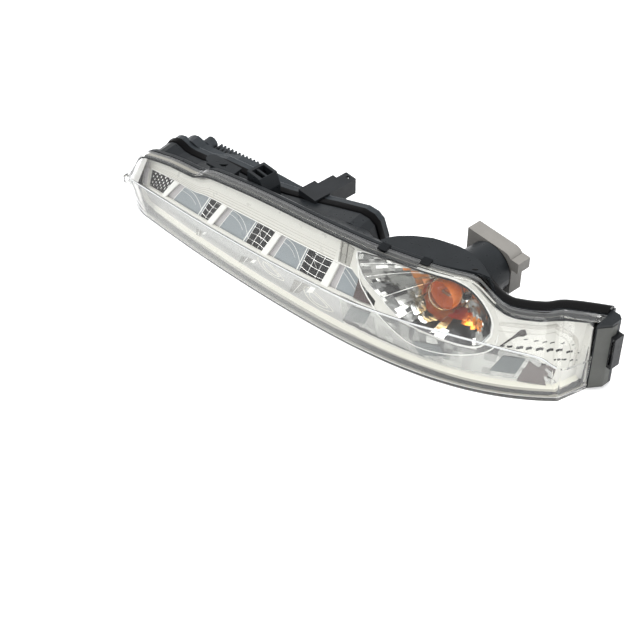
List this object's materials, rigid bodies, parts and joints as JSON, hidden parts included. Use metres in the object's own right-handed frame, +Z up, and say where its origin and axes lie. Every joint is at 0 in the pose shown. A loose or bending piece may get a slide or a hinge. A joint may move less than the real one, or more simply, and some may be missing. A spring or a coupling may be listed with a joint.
{
  "type": "vehicle indicator lamp",
  "caption": "Long curved front lamp for a vehicle: a clear creased lens over daytime light cups and an indicator bowl, on a black housing with a twist-in bulb holder.",
  "frame": {"origin": "middle of the lamp's outline seen from above, at the height of its underside", "axes": "+X along the front towards the low tail, +Y back into the vehicle, +Z up"},
  "size_m": [0.3976, 0.1528, 0.089],
  "materials": {
    "black_housing_plastic": "satin moulded",
    "clear_lens_plastic": "clear, polished",
    "grey_seal": "matte",
    "white_trim": "satin metallic white",
    "cup_chrome": "bright",
    "light_guide_clear": "clear, ribbed",
    "circuit_board": "lacquered",
    "light_chip": "matte",
    "bowl_chrome": "bright, faceted",
    "side_chrome": "bright",
    "amber_glass": "amber, clear",
    "cap_metal": "drawn",
    "holder_plastic": "warm grey, satin",
    "black_rubber": "matte",
    "contact_brass": "bright",
    "cover_plastic": "satin moulded",
    "dark_screw_steel": "dark coated",
    "sink_aluminium": "dark anodised",
    "connector_plastic": "satin moulded",
    "clip_steel": "bright spring steel",
    "end_clip_plastic": "glossy",
    "vent_rubber": "matte"
  },
  "bodies": {
    "lamp": {"housing": "black_housing_plastic", "outer_lens": "clear_lens_plastic", "lens_seal": "grey_seal", "trim": "white_trim", "led_reflector": "cup_chrome", "light_guide_1": "light_guide_clear", "light_guide_2": "light_guide_clear", "light_guide_3": "light_guide_clear", "light_guide_4": "light_guide_clear", "led_board": "circuit_board", "led_chips": "light_chip", "indicator_reflector": "bowl_chrome", "side_reflector": "side_chrome", "rear_cover": "cover_plastic", "cover_seal": "black_rubber", "cover_screws": "dark_screw_steel", "heat_sink": "sink_aluminium", "heat_sink_screws": "dark_screw_steel", "connector": "connector_plastic", "connector_pins": "contact_brass", "lens_clips": "clip_steel", "end_clip": "end_clip_plastic", "vent_cap": "vent_rubber"},
    "bulb_unit": {"bulb_holder": "holder_plastic", "bulb_cap": "cap_metal", "bulb_glass": "amber_glass", "holder_seal": "black_rubber", "holder_contacts": "contact_brass"}
  },
  "joints": [
    {"name": "holder_twist", "type": "hinge", "parent": "lamp", "child": "bulb_unit", "pos_m": [0.09475, 0.03383, 0.062], "axis": [0, 1, 0], "range_deg": [0, 45]}
  ]
}
